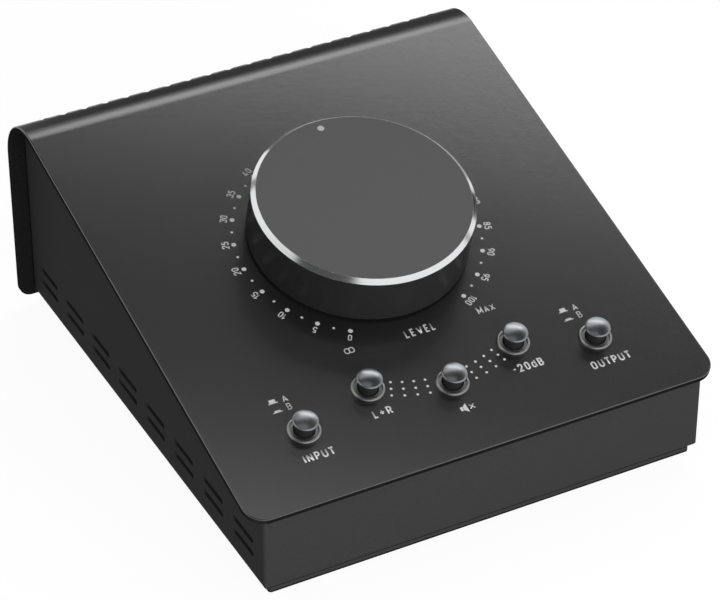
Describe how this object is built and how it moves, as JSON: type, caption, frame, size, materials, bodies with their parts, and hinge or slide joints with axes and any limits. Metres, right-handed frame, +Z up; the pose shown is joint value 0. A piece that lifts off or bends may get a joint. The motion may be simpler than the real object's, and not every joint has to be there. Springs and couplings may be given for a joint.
{
  "type": "studio monitor controller",
  "caption": "Desktop studio monitor controller: sloping bent-metal case with a large volume knob, latching push buttons and rear jack sockets.",
  "frame": {"origin": "on the table, under the middle of the bounding box", "axes": "+Z up, the front faces -Y, the rear sockets face +Y, +X to the right"},
  "size_m": [0.13, 0.1484, 0.0686],
  "materials": {
    "cover_paint": "fine powder coat, satin",
    "chassis_paint": "fine powder coat, satin",
    "rubber": "matt",
    "zinc_steel": "zinc plated",
    "black_screw": "black oxide",
    "circuit_board": "solder mask",
    "nylon": "moulded",
    "ribbon_pvc": "soft PVC",
    "knob_metal": "dark anodised, satin",
    "polished_trim": "diamond cut, bright",
    "knob_face": "fine bead blast, anodised grey",
    "pointer_white": "moulded",
    "brass": "turned",
    "nickel": "nickel plated",
    "phenolic": "moulded",
    "jack_plastic": "moulded",
    "button_chrome": "satin chrome plated",
    "button_stem": "moulded",
    "collar_metal": "turned, polished",
    "switch_plastic": "moulded",
    "spring_steel": "drawn wire"
  },
  "bodies": {
    "case": {"base_plate": "chassis_paint", "base_screws": "zinc_steel", "board_screws": "zinc_steel", "chassis_tray": "chassis_paint", "connector_board": "circuit_board", "connector_board_spacers": "nylon", "control_board": "circuit_board", "control_board_posts": "zinc_steel", "cover_posts": "zinc_steel", "dim_collar": "collar_metal", "dim_spring": "spring_steel", "dim_switch": "switch_plastic", "flap_screws": "black_screw", "jack_1": "jack_plastic", "jack_2": "jack_plastic", "jack_3": "jack_plastic", "jack_4": "jack_plastic", "jack_5": "jack_plastic", "jack_6": "jack_plastic", "jack_nuts": "nickel", "jack_washers": "zinc_steel", "mini_jack": "jack_plastic", "mono_collar": "collar_metal", "mono_spring": "spring_steel", "mono_switch": "switch_plastic", "mute_collar": "collar_metal", "mute_spring": "spring_steel", "mute_switch": "switch_plastic", "output_collar": "collar_metal", "output_spring": "spring_steel", "output_switch": "switch_plastic", "pot_bushing": "nickel", "pot_front_gang": "phenolic", "pot_nut": "nickel", "pot_rear_gang": "phenolic", "pot_washer": "zinc_steel", "ribbon_cable": "ribbon_pvc", "ribbon_headers": "nylon", "rubber_feet": "rubber", "source_collar": "collar_metal", "source_spring": "spring_steel", "source_switch": "switch_plastic", "top_cover": "cover_paint"},
    "knob": {"knob_body": "knob_metal", "knob_trim_ring": "polished_trim", "knob_top_disc": "knob_face", "knob_pointer": "pointer_white", "knob_shaft_insert": "brass", "pot_shaft": "nickel", "pot_wipers": "phenolic"},
    "source_button": {"source_cap": "button_chrome", "source_stem": "button_stem"},
    "mono_button": {"mono_cap": "button_chrome", "mono_stem": "button_stem"},
    "mute_button": {"mute_cap": "button_chrome", "mute_stem": "button_stem"},
    "dim_button": {"dim_cap": "button_chrome", "dim_stem": "button_stem"},
    "output_button": {"output_cap": "button_chrome", "output_stem": "button_stem"}
  },
  "joints": [
    {"name": "knob_turn", "type": "hinge", "parent": "case", "child": "knob", "pos_m": [0, -0.00354, 0.04712], "axis": [0, -0.2588, 0.9659], "range_deg": [-150, 150]},
    {"name": "source_press", "type": "slide", "parent": "case", "child": "source_button", "axis": [0, 0.2588, -0.9659], "range_m": [0, 0.0025], "stiffness_N_per_m": 600, "deforming": ["source_spring"]},
    {"name": "mono_press", "type": "slide", "parent": "case", "child": "mono_button", "axis": [0, 0.2588, -0.9659], "range_m": [0, 0.0025], "stiffness_N_per_m": 600, "deforming": ["mono_spring"]},
    {"name": "mute_press", "type": "slide", "parent": "case", "child": "mute_button", "axis": [0, 0.2588, -0.9659], "range_m": [0, 0.0025], "stiffness_N_per_m": 600, "deforming": ["mute_spring"]},
    {"name": "dim_press", "type": "slide", "parent": "case", "child": "dim_button", "axis": [0, 0.2588, -0.9659], "range_m": [0, 0.0025], "stiffness_N_per_m": 600, "deforming": ["dim_spring"]},
    {"name": "output_press", "type": "slide", "parent": "case", "child": "output_button", "axis": [0, 0.2588, -0.9659], "range_m": [0, 0.0025], "stiffness_N_per_m": 600, "deforming": ["output_spring"]}
  ]
}
